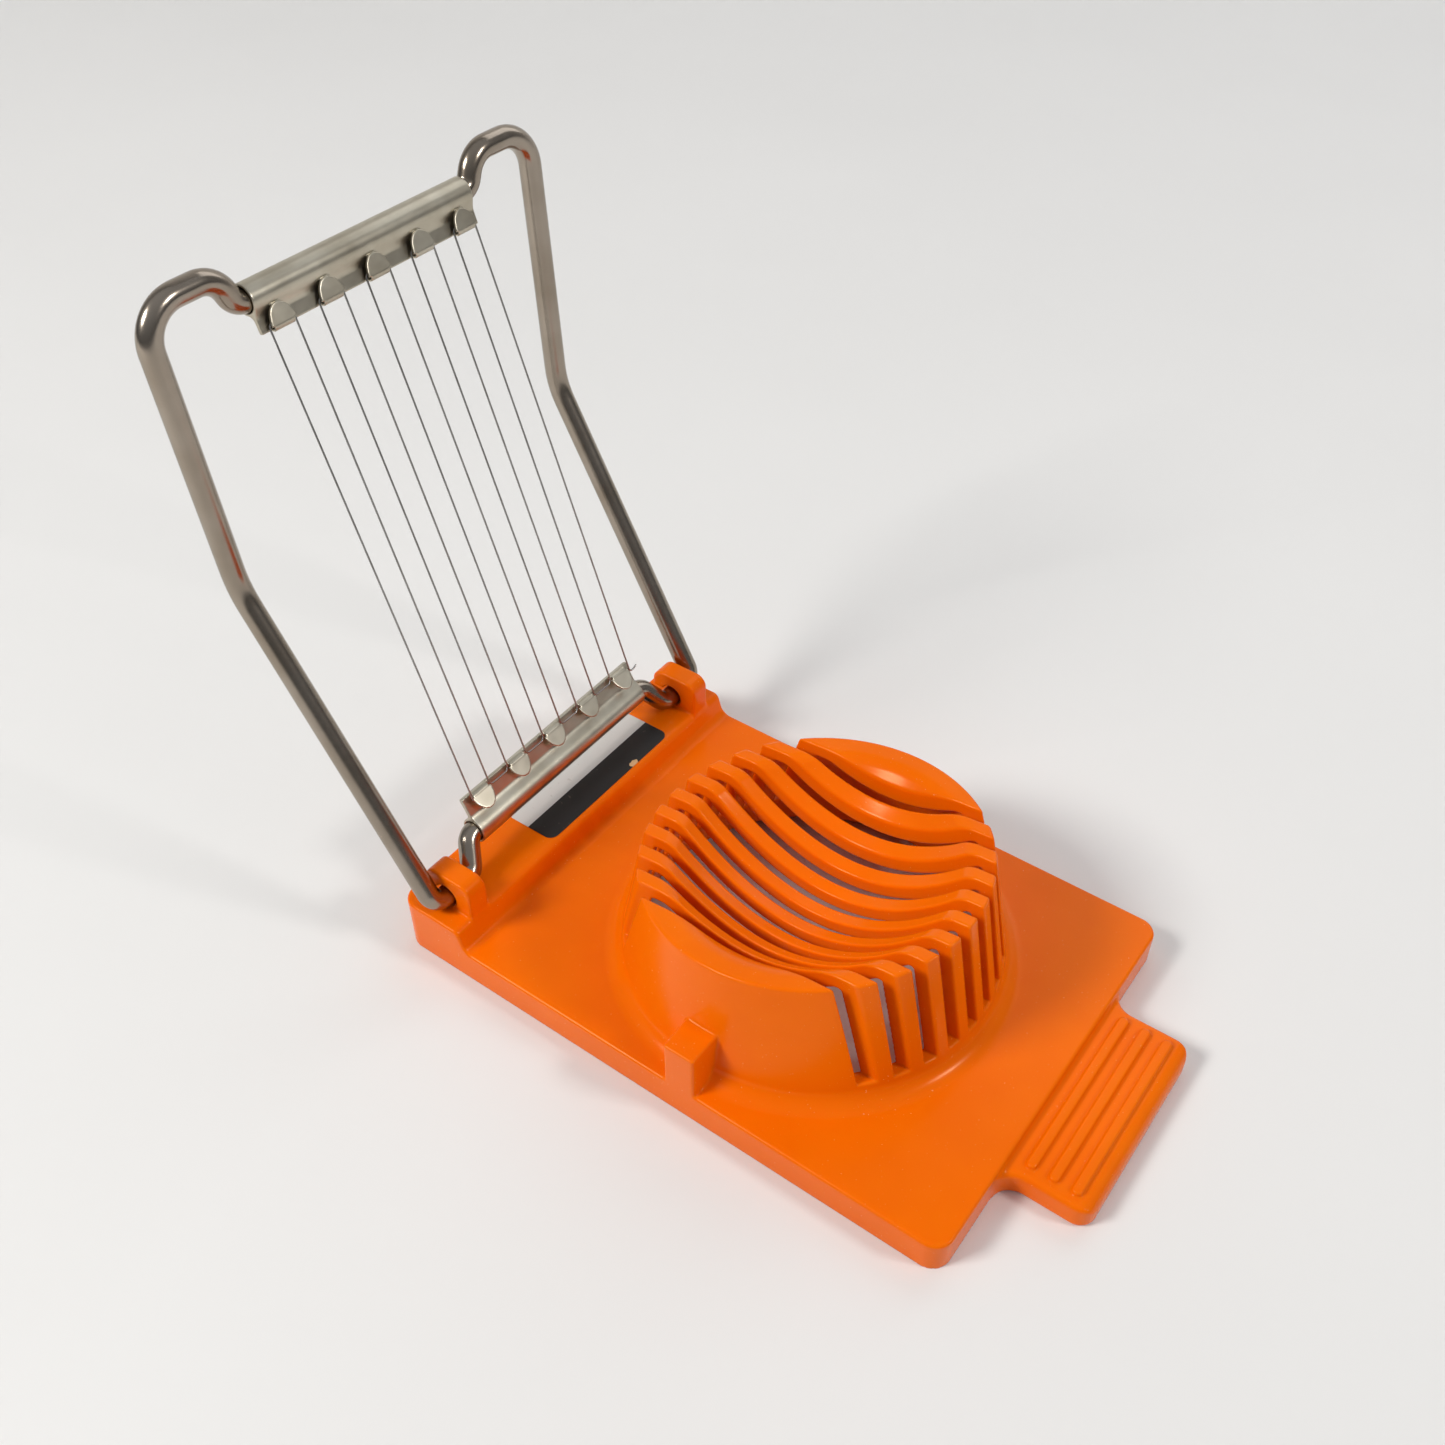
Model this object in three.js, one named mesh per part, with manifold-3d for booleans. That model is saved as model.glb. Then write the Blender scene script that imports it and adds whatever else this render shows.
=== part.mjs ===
// Egg slicer: a moulded base with a slotted egg cradle, and a hinged steel-wire
// frame that carries ten parallel cutting runs. Millimetres, +Z up. X runs along
// the hinge, -Y is the thumb-tab end and +Y the hinge end. The slicer stands open.
import * as THREE from 'three';
import { mergeVertices } from 'three/addons/utils/BufferGeometryUtils.js';
import Module from 'manifold-3d';

const wasm = await Module();
wasm.setup();

// ---------------------------------------------------------------- dimensions
// Base plate. The cradle's centre is x = 0, y = 0.
const PLATE_WIDTH = 79;
const PLATE_FRONT = 49.8;
const PLATE_REAR = 63.9;
const PLATE_HEIGHT = 6.7;
const PLATE_CORNER = 3.5;
const SHELL_WALL = 2.4;

// Raised ledge along the rear edge.
const LEDGE_RISE = 4.6;
const LEDGE_DEPTH = 15.5;
const LEDGE_SLOPE_RUN = 1.4;

// Thumb tab with its grip ribs.
const TAB_WIDTH = 39.4;
const TAB_LENGTH = 15.2;
const TAB_HEIGHT = 5.2;
const TAB_CORNER = 3;
const TAB_FILLET = 4;
const GRIP_COUNT = 3;
const GRIP_PITCH = 4;
const GRIP_FIRST = 3.4;
const GRIP_LENGTH = 35.6;
const GRIP_WIDTH = 1.8;
const GRIP_HEIGHT = 0.8;

// Drum that carries the cradle. Its rim slopes down towards the hinge.
const DRUM_RIM_RADIUS = 30.5;
const DRUM_RIM_HEIGHT = 29.3;
const DRUM_RIM_SLOPE = 0.1;
const DRUM_TAPER = 0.19;
const DRUM_FOOT_FILLET = 2.6;
const DRUM_WALL = 2.7;

// Egg-shaped hollow, measured across and square to the rim, and its slots.
const BOWL_HALF_LENGTH = 26.2;
const BOWL_HALF_WIDTH = 25.6;
const BOWL_DEPTH = 13.8;
const SLOT_COUNT = 10;
const SLOT_PITCH = 5;
const SLOT_WIDTH = 2.4;
const SLOT_FLOOR_RISE = 3.8;

// Stop posts beside the drum.
const POST_WIDTH = 6.2;
const POST_RISE = 9.8;
const POST_OFFSET = 0.4;

// Hinge hooks on the ledge.
const HINGE_FROM_REAR = 8.1;
const HOOK_WIDTH = 4.4;
const HOOK_TOP_WALL = 2.8;
const HOOK_REACH = 4.5;
const HOOK_LIP_DROP = 1.3;
const HOOK_FRONT_ROUND = 2.6;
const HOOK_REAR_ROUND = 1.8;

// Bent wire frame.
const FRAME_WIRE = 4;
const FRAME_LEAN = 18.7;
const ARM_SPREAD_AT_BEND = 1.2;
const ARM_BEND_ALONG = 64.8;
const ARM_BEND_BACK = 12;
const EAR_SPREAD = 2.8;
const EAR_INNER_SPREAD = 2.4;
const EAR_TOP_ALONG = 111.6;
const JOG_SPREAD = 3.4;
const HOOK_SIDE_CLEARANCE = 0.4;
const ARM_SIDE_CLEARANCE = 0.8;

// Sheet-metal clamp strips, rolled round the frame's two crossbars.
const STRIP_SHEET = 0.45;
const STRIP_OVERHANG = 1.2;
const BAR_OVERHANG = 1.5;
const STRIP_LOWER_ALONG = 5.6;
const STRIP_UPPER_ALONG = 106.4;
const STRIP_BACK = 1.6;
const LOWER_FLANGE_REACH = 7;
const UPPER_FLANGE_REACH = 5.5;
const FLANGE_OFFSET = 0.55;
const HOOK_TAB_WIDTH = 4.9;
const HOOK_TAB_LENGTH = 3.4;

// Cutting wire.
const CUT_WIRE = 0.35;
const UPPER_TURN_REACH = 4.3;
const LOWER_TURN_REACH = 6.3;
const TAIL_BELOW_TURN = 0.5;
const TAIL_REACH = 1.8;

// Label on the ledge.
const LABEL_LENGTH = 36;
const LABEL_WIDTH = 10.4;
const LABEL_CENTRE_X = 5.5;
const LABEL_THICKNESS = 0.2;
const LABEL_GAP = 0.05;

// Clearances and resolution.
const GAP = 0.3;
const ARC_STEP = 15;
const BOWL_STEPS = 16;
const BOWL_REACH = 1.4;

// ---------------------------------------------------------------- derived values
const ledgeTop = PLATE_HEIGHT + LEDGE_RISE;
const ledgeFoot = PLATE_REAR - LEDGE_DEPTH;
const hingeY = PLATE_REAR - HINGE_FROM_REAR;
const hingeZ = ledgeTop + GAP + FRAME_WIRE / 2;
const hingeBore = FRAME_WIRE / 2 + GAP;
const slotFloor = PLATE_HEIGHT + SLOT_FLOOR_RISE;
const slotSpan = (SLOT_COUNT - 1) * SLOT_PITCH;
const runX = [...Array(SLOT_COUNT).keys()].map((i) => i * SLOT_PITCH - slotSpan / 2);
// One hook tab stands between each pair of runs.
const tabX = runX.filter((x, i) => i % 2 === 0).map((x) => x + SLOT_PITCH / 2);
// The frame grows outwards from the runs: strips, crossbar, jogs, hooks, arms, ears.
const stripHalf = slotSpan / 2 + STRIP_OVERHANG;
const barEndHalf = stripHalf + BAR_OVERHANG;
const jogHalf = barEndHalf + JOG_SPREAD;
const hookInner = jogHalf + FRAME_WIRE / 2 + HOOK_SIDE_CLEARANCE;
const hookOuter = hookInner + HOOK_WIDTH;
const armFootHalf = hookOuter + FRAME_WIRE / 2 + ARM_SIDE_CLEARANCE;
const earHalf = armFootHalf + EAR_SPREAD;

// ---------------------------------------------------------------- materials
function material(color, roughness, metalness) {
  return new THREE.MeshStandardMaterial({ color, roughness, metalness });
}

const orangePlastic = material(0xf06405, 0.3, 0);
const frameSteel = material(0xb9b2a6, 0.25, 1);
const stripSteel = material(0xa8a397, 0.4, 1);
const cuttingSteel = material(0x8f8f8d, 0.3, 1);
const labelFilm = material(0xe8e6e0, 0.5, 0);

// ---------------------------------------------------------------- solids
// A closed geometry becomes a manifold solid, and a solid becomes a geometry again.
function solid(geometry) {
  const bare = geometry.clone();
  bare.deleteAttribute('normal');
  bare.deleteAttribute('uv');
  const welded = mergeVertices(bare, 1e-4);
  return new wasm.Manifold(new wasm.Mesh({
    numProp: 3,
    vertProperties: new Float32Array(welded.attributes.position.array),
    triVerts: new Uint32Array(welded.index.array),
  }));
}

function geometryOf(manifold) {
  const { vertProperties, triVerts } = manifold.getMesh();
  const geometry = new THREE.BufferGeometry();
  geometry.setAttribute('position', new THREE.BufferAttribute(new Float32Array(vertProperties), 3));
  geometry.setIndex(new THREE.BufferAttribute(new Uint32Array(triVerts), 1));
  geometry.computeVertexNormals();
  return geometry;
}

function unite(solids) {
  return solids.reduce((whole, next) => whole.add(next));
}

function box(x0, x1, y0, y1, z0, z1) {
  const geometry = new THREE.BoxGeometry(x1 - x0, y1 - y0, z1 - z0);
  geometry.translate((x0 + x1) / 2, (y0 + y1) / 2, (z0 + z1) / 2);
  return solid(geometry);
}

// An outline in X and Y, extruded upwards from z0 to z1.
function upright(shape, z0, z1) {
  const geometry = new THREE.ExtrudeGeometry(shape, {
    depth: z1 - z0, bevelEnabled: false, curveSegments: 5,
  });
  geometry.translate(0, 0, z0);
  return solid(geometry);
}

// An outline drawn in Y and Z, extruded along X from x0 to x1.
function profileAlongX(shape, x0, x1) {
  const geometry = new THREE.ExtrudeGeometry(shape, {
    depth: x1 - x0, bevelEnabled: false, curveSegments: 6,
  });
  const yzx = new THREE.Matrix4().makeBasis(
    new THREE.Vector3(0, 1, 0), new THREE.Vector3(0, 0, 1), new THREE.Vector3(1, 0, 0));
  geometry.applyMatrix4(yzx);
  geometry.translate(x0, 0, 0);
  return solid(geometry);
}

function roundedRectangle(x0, x1, y0, y1, radius) {
  const shape = new THREE.Shape();
  shape.moveTo(x0 + radius, y0);
  shape.lineTo(x1 - radius, y0);
  shape.absarc(x1 - radius, y0 + radius, radius, -Math.PI / 2, 0);
  shape.lineTo(x1, y1 - radius);
  shape.absarc(x1 - radius, y1 - radius, radius, 0, Math.PI / 2);
  shape.lineTo(x0 + radius, y1);
  shape.absarc(x0 + radius, y1 - radius, radius, Math.PI / 2, Math.PI);
  shape.lineTo(x0, y0 + radius);
  shape.absarc(x0 + radius, y0 + radius, radius, Math.PI, 1.5 * Math.PI);
  return shape;
}

// The base's outline, with the tab. inset moves every edge inwards.
function baseOutline(inset) {
  const half = PLATE_WIDTH / 2 - inset;
  const tab = TAB_WIDTH / 2 - inset;
  const front = -PLATE_FRONT + inset;
  const tip = -PLATE_FRONT - TAB_LENGTH + inset;
  const rear = PLATE_REAR - inset;
  const corner = PLATE_CORNER - inset / 2;
  const tabCorner = TAB_CORNER - inset / 2;
  const fillet = TAB_FILLET;
  const quarter = Math.PI / 2;
  const shape = new THREE.Shape();
  shape.moveTo(-tab + tabCorner, tip);
  shape.lineTo(tab - tabCorner, tip);
  shape.absarc(tab - tabCorner, tip + tabCorner, tabCorner, -quarter, 0);
  shape.lineTo(tab, front - fillet);
  shape.absarc(tab + fillet, front - fillet, fillet, Math.PI, quarter, true);
  shape.lineTo(half - corner, front);
  shape.absarc(half - corner, front + corner, corner, -quarter, 0);
  shape.lineTo(half, rear - corner);
  shape.absarc(half - corner, rear - corner, corner, 0, quarter);
  shape.lineTo(-half + corner, rear);
  shape.absarc(-half + corner, rear - corner, corner, quarter, Math.PI);
  shape.lineTo(-half, front + corner);
  shape.absarc(-half + corner, front + corner, corner, Math.PI, 3 * quarter);
  shape.lineTo(-tab - fillet, front);
  shape.absarc(-tab - fillet, front - fillet, fillet, quarter, 0, true);
  shape.lineTo(-tab, tip + tabCorner);
  shape.absarc(-tab + tabCorner, tip + tabCorner, tabCorner, Math.PI, 3 * quarter);
  return shape;
}

// ---------------------------------------------------------------- base
function drumRadius(z) {
  return DRUM_RIM_RADIUS + (DRUM_RIM_HEIGHT - z) * DRUM_TAPER;
}

// A tapered round body about the cradle's centre, from z0 to z1.
function taperedDrum(inset, z0, z1, fillet) {
  const points = [new THREE.Vector2(0, z0)];
  if (fillet > 0) {
    points.push(new THREE.Vector2(drumRadius(PLATE_HEIGHT) - inset + fillet, z0));
    for (let step = 0; step <= 3; step += 1) {
      const angle = (step / 3) * (Math.PI / 2);
      const z = PLATE_HEIGHT + fillet * (1 - Math.cos(angle));
      const flare = fillet * (1 - Math.sin(angle));
      points.push(new THREE.Vector2(drumRadius(z) - inset + flare, z));
    }
  } else {
    points.push(new THREE.Vector2(drumRadius(z0) - inset, z0));
  }
  points.push(new THREE.Vector2(drumRadius(z1) - inset, z1), new THREE.Vector2(0, z1));
  const geometry = new THREE.LatheGeometry(points, 48);
  geometry.rotateX(Math.PI / 2);
  return solid(geometry);
}

// Everything above the sloping rim plane, to cut the drum's top.
function aboveRim() {
  const size = 4 * DRUM_RIM_RADIUS;
  const geometry = new THREE.BoxGeometry(size, size, size);
  geometry.translate(0, 0, size / 2);
  geometry.rotateX(-Math.atan(DRUM_RIM_SLOPE));
  geometry.translate(0, 0, DRUM_RIM_HEIGHT);
  return solid(geometry);
}

// A paraboloid square to the sloping rim. grow enlarges it by about a wall.
function bowl(grow) {
  const profile = [];
  for (let i = 0; i <= BOWL_STEPS; i += 1) {
    const share = (BOWL_REACH * i) / BOWL_STEPS;
    profile.push(new THREE.Vector2(share, BOWL_DEPTH * (share ** 2 - 1)));
  }
  profile.push(new THREE.Vector2(0, profile.at(-1).y));
  const geometry = new THREE.LatheGeometry(profile, 44);
  geometry.rotateX(Math.PI / 2);
  geometry.scale(BOWL_HALF_LENGTH + grow / 2, BOWL_HALF_WIDTH + grow / 2, 1);
  geometry.translate(0, 0, -grow);
  geometry.rotateX(-Math.atan(DRUM_RIM_SLOPE));
  geometry.translate(0, 0, DRUM_RIM_HEIGHT);
  return solid(geometry);
}

function ledgeProfile(inset) {
  const shape = new THREE.Shape();
  const run = LEDGE_SLOPE_RUN;
  shape.moveTo(ledgeFoot + inset, PLATE_HEIGHT - inset - 1);
  shape.lineTo(PLATE_REAR - inset, PLATE_HEIGHT - inset - 1);
  shape.lineTo(PLATE_REAR - inset, ledgeTop - inset);
  shape.lineTo(ledgeFoot + inset + run, ledgeTop - inset);
  shape.lineTo(ledgeFoot + inset, PLATE_HEIGHT - inset);
  return shape;
}

// The hook's side view: a wall in front of the wire, a roof over it, open to the rear.
function hookProfile() {
  const front = ledgeFoot + LEDGE_SLOPE_RUN;
  const top = hingeZ + hingeBore + HOOK_TOP_WALL;
  const tip = hingeY + HOOK_REACH;
  const lip = hingeBore - HOOK_LIP_DROP;
  const shape = new THREE.Shape();
  shape.moveTo(front, ledgeTop - 1);
  shape.lineTo(hingeY, ledgeTop - 1);
  shape.lineTo(hingeY, hingeZ - hingeBore);
  shape.absarc(hingeY, hingeZ, hingeBore, -Math.PI / 2, Math.asin(lip / hingeBore) - 2 * Math.PI, true);
  shape.lineTo(tip, hingeZ + lip);
  shape.lineTo(tip, top - HOOK_REAR_ROUND);
  shape.absarc(tip - HOOK_REAR_ROUND, top - HOOK_REAR_ROUND, HOOK_REAR_ROUND, 0, Math.PI / 2);
  shape.lineTo(front + HOOK_FRONT_ROUND, top);
  shape.absarc(front + HOOK_FRONT_ROUND, top - HOOK_FRONT_ROUND, HOOK_FRONT_ROUND, Math.PI / 2, Math.PI);
  return shape;
}

function makeBase() {
  const half = PLATE_WIDTH / 2;
  const plateEdge = roundedRectangle(-half, half, -PLATE_FRONT, PLATE_REAR, PLATE_CORNER);
  const body = [
    upright(plateEdge, 0, PLATE_HEIGHT),
    upright(baseOutline(0), 0, TAB_HEIGHT),
    profileAlongX(ledgeProfile(0), -half, half),
    taperedDrum(0, PLATE_HEIGHT - 1, DRUM_RIM_HEIGHT + 8, DRUM_FOOT_FILLET).subtract(aboveRim()),
  ];
  for (const side of [-1, 1]) {
    const inner = side * (DRUM_RIM_RADIUS - DRUM_WALL / 2);
    const outer = side * half;
    const y0 = POST_OFFSET - POST_WIDTH / 2;
    body.push(box(Math.min(inner, outer), Math.max(inner, outer),
      y0, y0 + POST_WIDTH, PLATE_HEIGHT - 1, PLATE_HEIGHT + POST_RISE));
    body.push(profileAlongX(hookProfile(),
      Math.min(side * hookInner, side * hookOuter), Math.max(side * hookInner, side * hookOuter)));
  }
  for (let i = 0; i < GRIP_COUNT; i += 1) {
    const y = -PLATE_FRONT - GRIP_FIRST - i * GRIP_PITCH;
    const rib = roundedRectangle(-GRIP_LENGTH / 2, GRIP_LENGTH / 2,
      y - GRIP_WIDTH / 2, y + GRIP_WIDTH / 2, GRIP_WIDTH / 2 - 0.01);
    body.push(upright(rib, TAB_HEIGHT - 1, TAB_HEIGHT + GRIP_HEIGHT));
  }
  // The ledge and the plate share one outline, so the ledge's ends follow its rounded corners.
  const outline = upright(baseOutline(0), -1, 2 * DRUM_RIM_HEIGHT);
  const outside = unite(body).intersect(outline);

  const roof = TAB_HEIGHT - SHELL_WALL;
  const underPlate = roundedRectangle(-half + SHELL_WALL, half - SHELL_WALL,
    -PLATE_FRONT + SHELL_WALL, PLATE_REAR - SHELL_WALL, PLATE_CORNER - SHELL_WALL / 2);
  const hollow = [
    upright(baseOutline(SHELL_WALL), -1, roof),
    upright(underPlate, -1, PLATE_HEIGHT - SHELL_WALL),
    profileAlongX(ledgeProfile(SHELL_WALL), -half + SHELL_WALL, half - SHELL_WALL),
    taperedDrum(DRUM_WALL, -1, DRUM_RIM_HEIGHT + 8, 0).subtract(bowl(DRUM_WALL))
      .subtract(aboveRim().translate([0, 0, -DRUM_WALL])),
  ];
  const reach = drumRadius(slotFloor) + 1;
  const slots = runX.map((x) => box(x - SLOT_WIDTH / 2, x + SLOT_WIDTH / 2,
    -reach, reach, slotFloor, 2 * DRUM_RIM_HEIGHT));
  return outside.subtract(unite(hollow)).subtract(bowl(0)).subtract(unite(slots));
}

// ---------------------------------------------------------------- wire frame
// Directions of the leaning frame: along points from the hinge to the ears,
// and forward is square to the cutting runs, towards the thumb tab.
const lean = THREE.MathUtils.degToRad(FRAME_LEAN);
const along = new THREE.Vector3(0, Math.sin(lean), Math.cos(lean));
const forward = new THREE.Vector3(0, -Math.cos(lean), Math.sin(lean));
const hinge = new THREE.Vector3(0, hingeY, hingeZ);

// A point of the frame from its place across, along and forward of the hinge.
function place(x, s, v) {
  return new THREE.Vector3(x, 0, 0).add(hinge).addScaledVector(along, s).addScaledVector(forward, v);
}

// A wire's centre line: straight spans joined by round bends. Each corner is
// [point, bend radius]; the stations are the ends of the spans and points on the bends.
class BentWire extends THREE.Curve {
  constructor(corners) {
    super();
    this.stations = [corners[0][0]];
    this.tangents = [];
    for (let i = 1; i < corners.length - 1; i += 1) {
      this.addBend(corners[i - 1][0], corners[i][0], corners[i + 1][0], corners[i][1]);
    }
    this.stations.push(corners.at(-1)[0]);
    const last = this.stations.length - 1;
    this.tangents = this.stations.map((point, i) => {
      const ahead = this.stations[Math.min(i + 1, last)];
      const behind = this.stations[Math.max(i - 1, 0)];
      const before = point.clone().sub(behind).normalize();
      const after = ahead.clone().sub(point).normalize();
      return before.add(after).normalize();
    });
  }

  addBend(from, corner, to, radius) {
    const inward = from.clone().sub(corner).normalize();
    const outward = to.clone().sub(corner).normalize();
    const turn = Math.PI - inward.angleTo(outward);
    const setback = radius * Math.tan(turn / 2);
    const start = corner.clone().addScaledVector(inward, setback);
    const bisector = inward.clone().add(outward).normalize();
    const centre = corner.clone().addScaledVector(bisector, radius / Math.cos(turn / 2));
    const arm = start.clone().sub(centre);
    const axis = inward.clone().negate().cross(outward).normalize();
    const steps = Math.max(2, Math.ceil(THREE.MathUtils.radToDeg(turn) / ARC_STEP));
    for (let k = 0; k <= steps; k += 1) {
      this.stations.push(arm.clone().applyAxisAngle(axis, (turn * k) / steps).add(centre));
    }
  }

  getPointAt(u, target = new THREE.Vector3()) {
    return target.copy(this.stations[Math.round(u * (this.stations.length - 1))]);
  }

  getTangentAt(u, target = new THREE.Vector3()) {
    return target.copy(this.tangents[Math.round(u * (this.stations.length - 1))]);
  }
}

// A round wire of the given diameter along a centre line.
function wire(corners, diameter, sides) {
  const path = new BentWire(corners);
  const section = new THREE.Shape();
  for (let i = 0; i < sides; i += 1) {
    const angle = (2 * Math.PI * i) / sides;
    const x = (diameter / 2) * Math.cos(angle);
    const y = (diameter / 2) * Math.sin(angle);
    if (i === 0) section.moveTo(x, y);
    else section.lineTo(x, y);
  }
  section.closePath();
  return new THREE.ExtrudeGeometry(section, { steps: path.stations.length - 1, extrudePath: path });
}

// How far behind the cutting runs the frame's upper part lies, at s along it.
function upperBack(s) {
  const share = (s - ARM_BEND_ALONG) / (STRIP_UPPER_ALONG - ARM_BEND_ALONG);
  return -ARM_BEND_BACK + share * (ARM_BEND_BACK - STRIP_BACK);
}

function makeFrameWire() {
  const tightBend = 2.8;
  const side = (sign) => [
    [place(sign * barEndHalf, STRIP_LOWER_ALONG, -STRIP_BACK), tightBend],
    [place(sign * jogHalf, 0, 0), tightBend],
    [place(sign * armFootHalf, 0, 0), tightBend],
    [place(sign * (armFootHalf + ARM_SPREAD_AT_BEND), ARM_BEND_ALONG, -ARM_BEND_BACK), 16],
    [place(sign * earHalf, EAR_TOP_ALONG, upperBack(EAR_TOP_ALONG)), 6.4],
    [place(sign * (barEndHalf + EAR_INNER_SPREAD), EAR_TOP_ALONG, upperBack(EAR_TOP_ALONG)), 5],
    [place(sign * barEndHalf, STRIP_UPPER_ALONG, -STRIP_BACK), tightBend],
  ];
  const corners = [
    [place(GAP / 2, STRIP_LOWER_ALONG, -STRIP_BACK), 0],
    ...side(1),
    ...side(-1).reverse(),
    [place(-GAP / 2, STRIP_LOWER_ALONG, -STRIP_BACK), 0],
  ];
  return wire(corners, FRAME_WIRE, 12);
}

// ---------------------------------------------------------------- clamp strips
// Built with its crossbar on the X axis, the flange towards +Y and its hooks on +Z.
const rollInner = FRAME_WIRE / 2 + GAP;
const rollOuter = rollInner + STRIP_SHEET;
const flangeFront = FLANGE_OFFSET + 2 * STRIP_SHEET;
const runHeight = flangeFront + GAP + CUT_WIRE / 2;
const hookInside = runHeight + CUT_WIRE / 2 + GAP;

function makeStrip(reach) {
  const roll = new THREE.CylinderGeometry(rollOuter, rollOuter, 2 * stripHalf, 24);
  const hole = new THREE.CylinderGeometry(rollInner, rollInner, 2 * stripHalf + 2, 24);
  roll.rotateZ(Math.PI / 2);
  hole.rotateZ(Math.PI / 2);
  const flange = box(-stripHalf, stripHalf, 0, reach, FLANGE_OFFSET, flangeFront);
  const webHalf = SLOT_PITCH / 2 - CUT_WIRE / 2 - GAP;
  const hooks = tabX.map((x) => {
    const web = box(x - webHalf, x + webHalf, reach - STRIP_SHEET, reach,
      flangeFront - STRIP_SHEET, hookInside + STRIP_SHEET);
    const outline = new THREE.Shape();
    outline.moveTo(x - HOOK_TAB_WIDTH / 2, reach);
    outline.absellipse(x, reach, HOOK_TAB_WIDTH / 2, HOOK_TAB_LENGTH, Math.PI, 2 * Math.PI);
    return web.add(upright(outline, hookInside, hookInside + STRIP_SHEET));
  });
  return unite([solid(roll).add(flange).subtract(solid(hole)), ...hooks]);
}

// A strip in its place. toward is +1 where its flange points along the frame, -1 where back.
function placedStrip(name, s, toward, reach) {
  const mesh = new THREE.Mesh(geometryOf(makeStrip(reach)), stripSteel);
  mesh.name = name;
  const across = new THREE.Vector3(toward, 0, 0);
  mesh.quaternion.setFromRotationMatrix(
    new THREE.Matrix4().makeBasis(across, along.clone().multiplyScalar(toward), forward));
  mesh.position.copy(place(0, s, -STRIP_BACK));
  return mesh;
}

// ---------------------------------------------------------------- cutting wire
const runBack = runHeight - STRIP_BACK;
const runStart = STRIP_LOWER_ALONG + LOWER_FLANGE_REACH + 1;
const runEnd = STRIP_UPPER_ALONG - UPPER_FLANGE_REACH - 1;

function cutWire(name, corners) {
  const mesh = new THREE.Mesh(wire(corners, CUT_WIRE, 6), cuttingSteel);
  mesh.name = name;
  return mesh;
}

// A turn between two runs: inside a hook of the upper strip, or from hook to hook of the lower.
function turn(name, x0, x1, upper) {
  const end = upper ? runEnd + GAP : runStart - GAP;
  const level = upper ? STRIP_UPPER_ALONG - UPPER_TURN_REACH : STRIP_LOWER_ALONG + LOWER_TURN_REACH;
  return cutWire(name, [
    [place(x0, end, runBack), 0],
    [place(x0, level, runBack), 0.8],
    [place(x1, level, runBack), 0.8],
    [place(x1, end, runBack), 0],
  ]);
}

function makeCuttingWire() {
  const pieces = runX.map((x, i) => cutWire(`cutting_run_${i + 1}`, [
    [place(x, runStart, runBack), 0],
    [place(x, runEnd, runBack), 0],
  ]));
  for (let i = 0; i + 1 < SLOT_COUNT; i += 1) {
    const upper = i % 2 === 0;
    const name = `wire_turn_${upper ? 'upper' : 'lower'}_${Math.floor(i / 2) + 1}`;
    pieces.push(turn(name, runX[i], runX[i + 1], upper));
  }
  // One end is tucked into the first hook; the other stands out past the last.
  const tails = [['wire_end_left', runX[0], SLOT_PITCH * 0.7], ['wire_end_right', runX.at(-1), TAIL_REACH]];
  for (const [name, x, reach] of tails) {
    const level = STRIP_LOWER_ALONG + LOWER_TURN_REACH - TAIL_BELOW_TURN;
    pieces.push(cutWire(name, [
      [place(x, runStart - GAP, runBack), 0],
      [place(x, level, runBack), 0.8],
      [place(x + reach, level, runBack), 0],
    ]));
  }
  return pieces;
}

// ---------------------------------------------------------------- label
function makeLabel() {
  const middle = (ledgeFoot + LEDGE_SLOPE_RUN + PLATE_REAR) / 2 - 1;
  const shape = roundedRectangle(LABEL_CENTRE_X - LABEL_LENGTH / 2, LABEL_CENTRE_X + LABEL_LENGTH / 2,
    middle - LABEL_WIDTH / 2, middle + LABEL_WIDTH / 2, 1.5);
  const z0 = ledgeTop + LABEL_GAP;
  return upright(shape, z0, z0 + LABEL_THICKNESS);
}

// ---------------------------------------------------------------- assembly
function part(name, geometry, finish) {
  const mesh = new THREE.Mesh(geometry, finish);
  mesh.name = name;
  return mesh;
}

const slicer = new THREE.Group();
slicer.add(part('base', geometryOf(makeBase()), orangePlastic));
slicer.add(part('label', geometryOf(makeLabel()), labelFilm));
slicer.add(part('frame_wire', makeFrameWire(), frameSteel));
slicer.add(placedStrip('clamp_strip_lower', STRIP_LOWER_ALONG, 1, LOWER_FLANGE_REACH));
slicer.add(placedStrip('clamp_strip_upper', STRIP_UPPER_ALONG, -1, UPPER_FLANGE_REACH));
slicer.add(...makeCuttingWire());

// The origin is the middle of the whole box in X and Y, on the surface it stands on.
const extent = new THREE.Box3().setFromObject(slicer, true);
slicer.position.set(-(extent.min.x + extent.max.x) / 2, -(extent.min.y + extent.max.y) / 2, -extent.min.z);

export default slicer;
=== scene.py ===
"""Looks of an egg slicer: an orange moulded base under a hinged frame strung with cutting wires.

Lengths named here are millimetres in the design frame, whose origin is the middle of the
egg cradle on the table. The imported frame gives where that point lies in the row.
"""
import math

import bpy
import numpy as np
from mathutils import Matrix, Quaternion, Vector


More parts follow.
